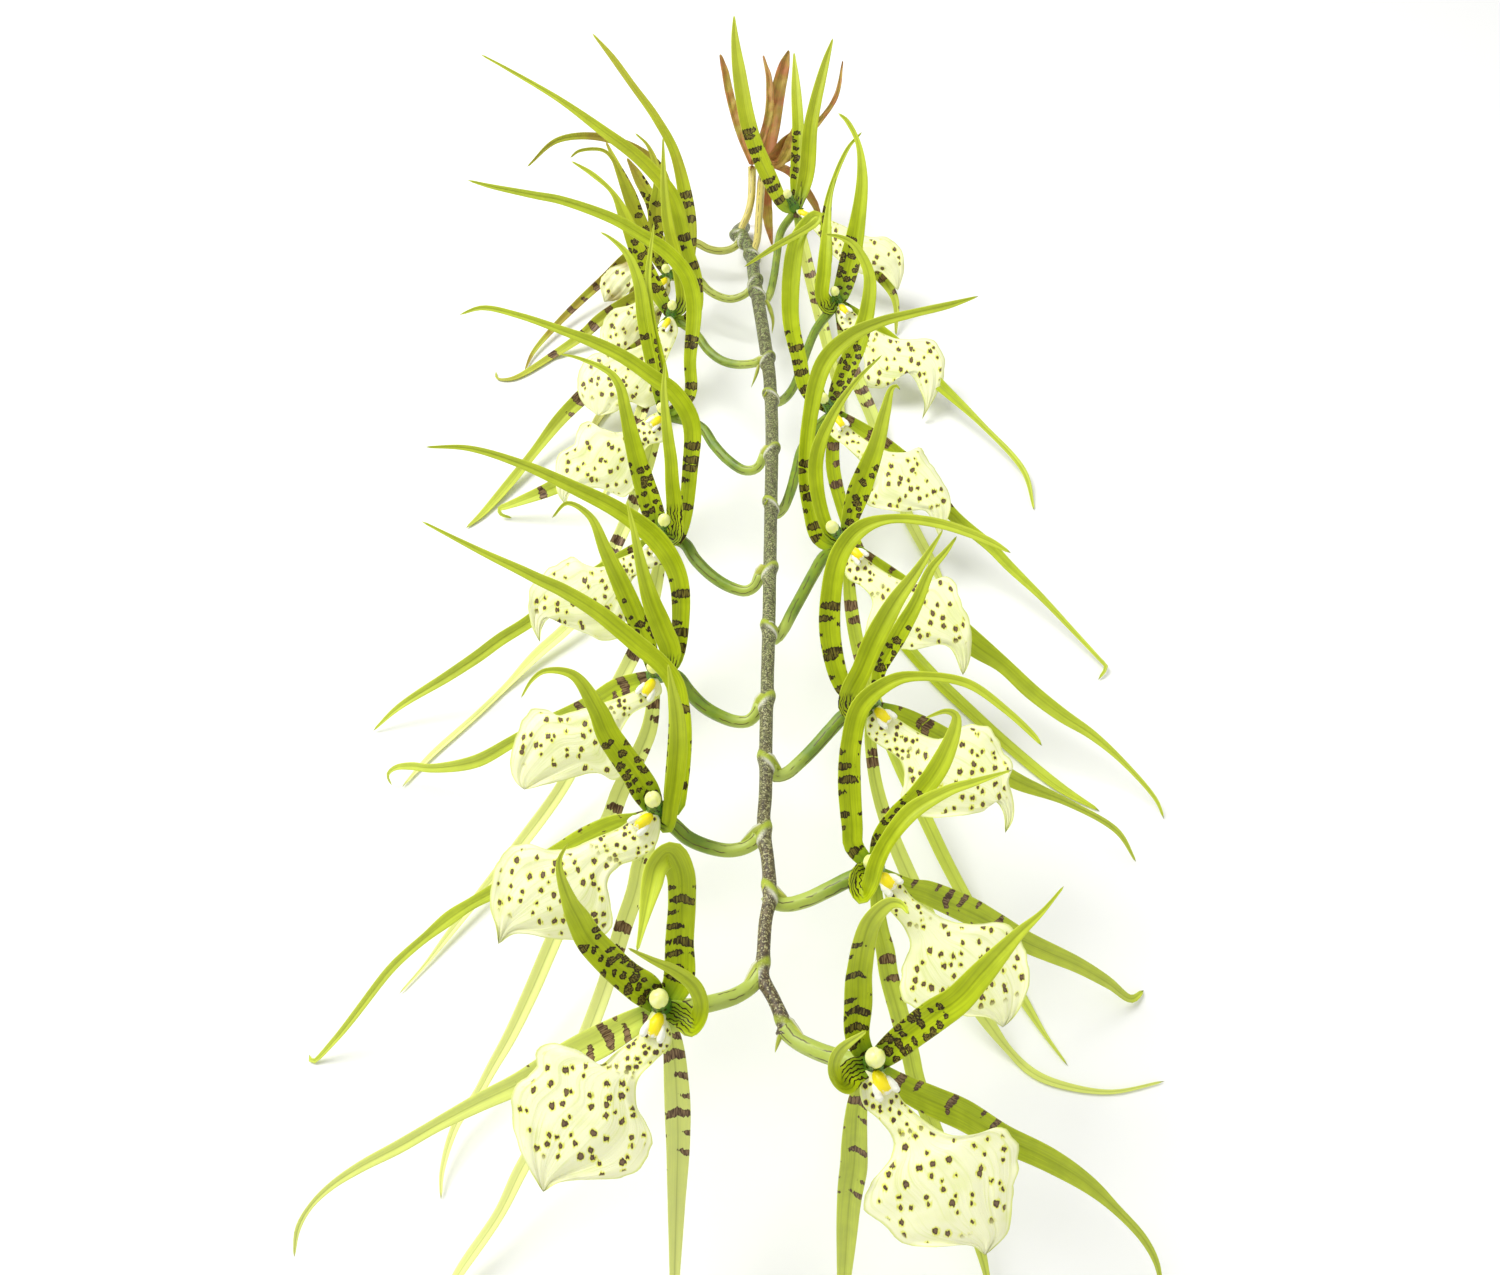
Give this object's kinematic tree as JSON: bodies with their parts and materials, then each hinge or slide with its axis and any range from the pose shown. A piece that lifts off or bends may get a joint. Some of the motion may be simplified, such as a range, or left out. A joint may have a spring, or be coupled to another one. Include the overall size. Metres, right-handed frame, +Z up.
{
  "type": "brassia orchid spray",
  "caption": "Cut flowering spray of a spider orchid lying on a surface: a jointed stem with facing ranks of long-sepalled, banded yellow-green flowers and pale spotted lips",
  "frame": {"origin": "on the surface that the spray lies on, below the middle of its bounding box", "axes": "+Z up, +Y along the stem from the growing tip toward the cut end, +X to the right seen from the growing tip"},
  "size_m": [0.3525, 0.7418, 0.1745],
  "materials": {
    "stem": "fresh green stem mottled with purple-brown",
    "stalk": "smooth grooved green flower stalk",
    "tepal": "waxy yellow-green with dark brown bands near the heart",
    "lip": "soft cream with yellow-haloed dark spots",
    "withered": "dry brown"
  },
  "bodies": {
    "root": {"rachis": "stem", "left_1_stalk": "stalk", "left_1_tepals": "tepal", "left_1_lip": "lip", "left_2_stalk": "stalk", "left_2_tepals": "tepal", "left_2_lip": "lip", "left_3_stalk": "stalk", "left_3_tepals": "tepal", "left_3_lip": "lip", "left_4_stalk": "stalk", "left_4_tepals": "tepal", "left_4_lip": "lip", "left_5_stalk": "stalk", "left_5_tepals": "tepal", "left_5_lip": "lip", "left_6_stalk": "stalk", "left_6_tepals": "tepal", "left_6_lip": "lip", "left_7_stalk": "stalk", "left_7_tepals": "tepal", "left_7_lip": "lip", "left_8_stalk": "stalk", "left_8_tepals": "tepal", "left_8_lip": "lip", "right_1_stalk": "stalk", "right_1_tepals": "tepal", "right_1_lip": "lip", "right_2_stalk": "stalk", "right_2_tepals": "tepal", "right_2_lip": "lip", "right_3_stalk": "stalk", "right_3_tepals": "tepal", "right_3_lip": "lip", "right_4_stalk": "stalk", "right_4_tepals": "tepal", "right_4_lip": "lip", "right_5_stalk": "stalk", "right_5_tepals": "tepal", "right_5_lip": "lip", "right_6_stalk": "stalk", "right_6_tepals": "tepal", "right_6_lip": "lip", "right_7_stalk": "stalk", "right_7_tepals": "tepal", "right_7_lip": "lip", "withered_1_stalk": "stalk", "withered_1_tepals": "withered", "withered_2_stalk": "stalk", "withered_2_tepals": "withered"}
  },
  "joints": []
}
